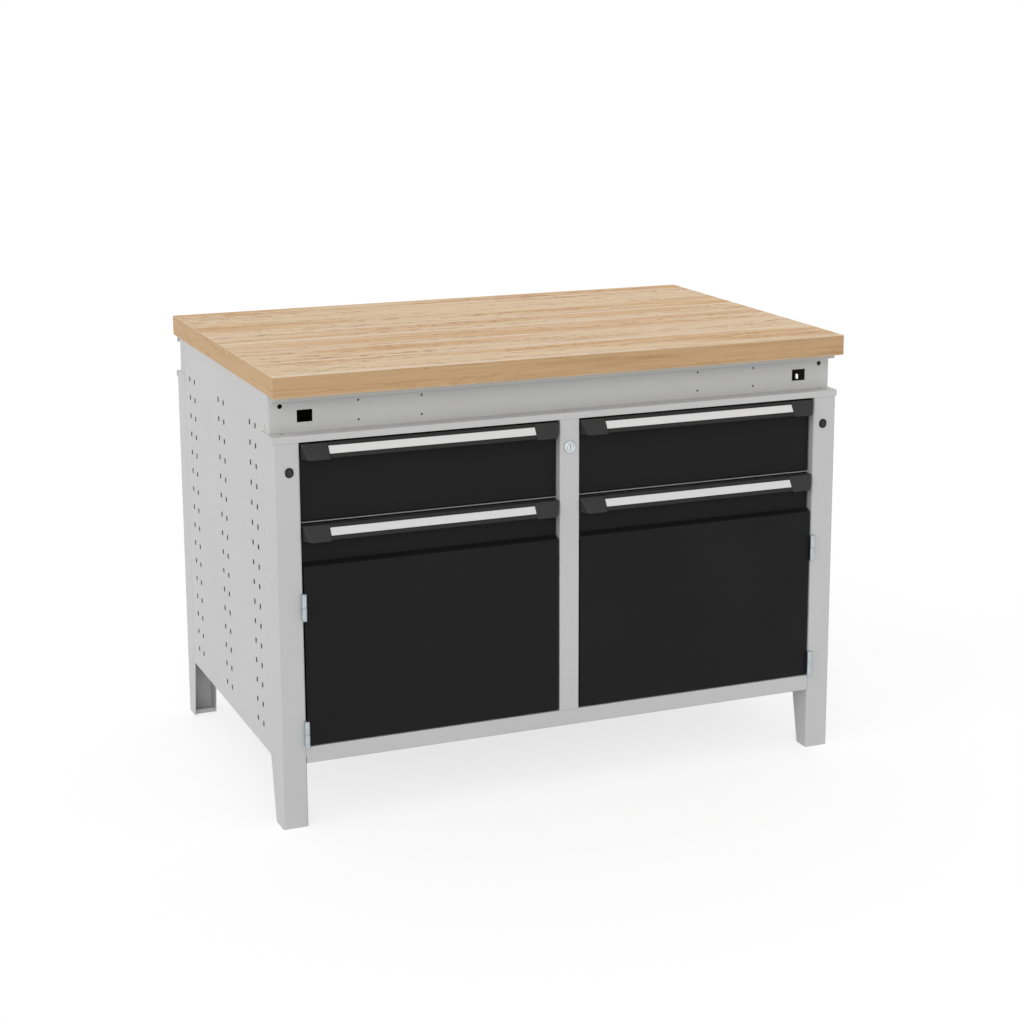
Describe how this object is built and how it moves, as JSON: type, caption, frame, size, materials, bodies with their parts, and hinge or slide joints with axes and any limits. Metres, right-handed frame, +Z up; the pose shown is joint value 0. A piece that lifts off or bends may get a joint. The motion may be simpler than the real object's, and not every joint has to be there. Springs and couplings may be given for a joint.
{
  "type": "workbench with cabinet doors",
  "caption": "Steel workbench with a thick beech top, perforated gables and compartments that each have a pull-out drawer above a hinged door with a slanted grip.",
  "frame": {"origin": "on the floor, under the middle of the worktop", "axes": "+X to the right as seen from the front, +Y to the back, +Z up"},
  "size_m": [1.15, 0.75, 0.85],
  "materials": {
    "beech": "oiled beech lamellae",
    "frame_paint": "light grey powder coat, satin",
    "front_paint": "near-black powder coat, satin",
    "dark_plastic": "dark grey moulded plastic, matt",
    "label_white": "pale label strip under clear film",
    "zinc": "bright zinc plate"
  },
  "bodies": {
    "bench": {"worktop": "beech", "bottom_rail": "frame_paint", "centre_column": "frame_paint", "partition": "frame_paint", "divider": "frame_paint", "cabinet_floor": "frame_paint", "back_panel": "frame_paint", "apron_front": "frame_paint", "apron_back": "frame_paint", "ledge_front": "frame_paint", "ledge_back": "frame_paint", "leg_front_left": "frame_paint", "leg_back_left": "frame_paint", "gable_left": "frame_paint", "plug_left": "dark_plastic", "runner_fixed_outer_left": "zinc", "runner_fixed_inner_left": "zinc", "hinge_frame_lower_left": "zinc", "hinge_frame_upper_left": "zinc", "leg_front_right": "frame_paint", "leg_back_right": "frame_paint", "gable_right": "frame_paint", "plug_right": "dark_plastic", "runner_fixed_outer_right": "zinc", "runner_fixed_inner_right": "zinc", "hinge_frame_lower_right": "zinc", "hinge_frame_upper_right": "zinc", "lock_housing": "zinc"},
    "runners_left": {"runner_middle_outer_left": "zinc", "runner_middle_inner_left": "zinc"},
    "drawer_left": {"drawer_front_left": "front_paint", "drawer_box_left": "frame_paint", "handle_bar_drawer_left": "dark_plastic", "label_strip_drawer_left": "label_white", "cap_inner_drawer_left": "dark_plastic", "cap_outer_drawer_left": "dark_plastic"},
    "door_left": {"door_left": "front_paint", "handle_bar_door_left": "dark_plastic", "label_strip_door_left": "label_white", "cap_inner_door_left": "dark_plastic", "cap_outer_door_left": "dark_plastic", "hinge_door_lower_left": "zinc", "hinge_door_upper_left": "zinc"},
    "runners_right": {"runner_middle_outer_right": "zinc", "runner_middle_inner_right": "zinc"},
    "drawer_right": {"drawer_front_right": "front_paint", "drawer_box_right": "frame_paint", "handle_bar_drawer_right": "dark_plastic", "label_strip_drawer_right": "label_white", "cap_inner_drawer_right": "dark_plastic", "cap_outer_drawer_right": "dark_plastic"},
    "door_right": {"door_right": "front_paint", "handle_bar_door_right": "dark_plastic", "label_strip_door_right": "label_white", "cap_inner_door_right": "dark_plastic", "cap_outer_door_right": "dark_plastic", "hinge_door_lower_right": "zinc", "hinge_door_upper_right": "zinc"},
    "lock_core": {"lock_core": "zinc"},
    "lock_bar": {"lock_bar": "zinc"}
  },
  "joints": [
    {"name": "drawer_left_slide", "type": "slide", "parent": "bench", "child": "drawer_left", "axis": [0, -1, 0], "range_m": [0, 0.56]},
    {"name": "runners_left_slide", "type": "slide", "parent": "bench", "child": "runners_left", "axis": [0, -1, 0], "range_m": [0, 0.28]},
    {"name": "door_left_swing", "type": "hinge", "parent": "bench", "child": "door_left", "pos_m": [-0.524, -0.361, 0.36], "axis": [0, 0, -1], "range_deg": [0, 110]},
    {"name": "drawer_right_slide", "type": "slide", "parent": "bench", "child": "drawer_right", "axis": [0, -1, 0], "range_m": [0, 0.56]},
    {"name": "runners_right_slide", "type": "slide", "parent": "bench", "child": "runners_right", "axis": [0, -1, 0], "range_m": [0, 0.28]},
    {"name": "door_right_swing", "type": "hinge", "parent": "bench", "child": "door_right", "pos_m": [0.524, -0.361, 0.36], "axis": [0, 0, 1], "range_deg": [0, 110]},
    {"name": "lock_bar_slide", "type": "slide", "parent": "bench", "child": "lock_bar", "axis": [0, 0, -1], "range_m": [0, 0.0099]},
    {"name": "lock_turn", "type": "hinge", "parent": "bench", "child": "lock_core", "pos_m": [0, -0.355, 0.672], "axis": [0, 1, 0], "range_deg": [0, 90]}
  ],
  "couplings": [
    {"joint": "runners_left_slide", "follows": "drawer_left_slide", "ratio": 0.5},
    {"joint": "runners_right_slide", "follows": "drawer_right_slide", "ratio": 0.5},
    {"joint": "lock_turn", "follows": "lock_bar_slide", "rad_per_m": 158.6}
  ]
}
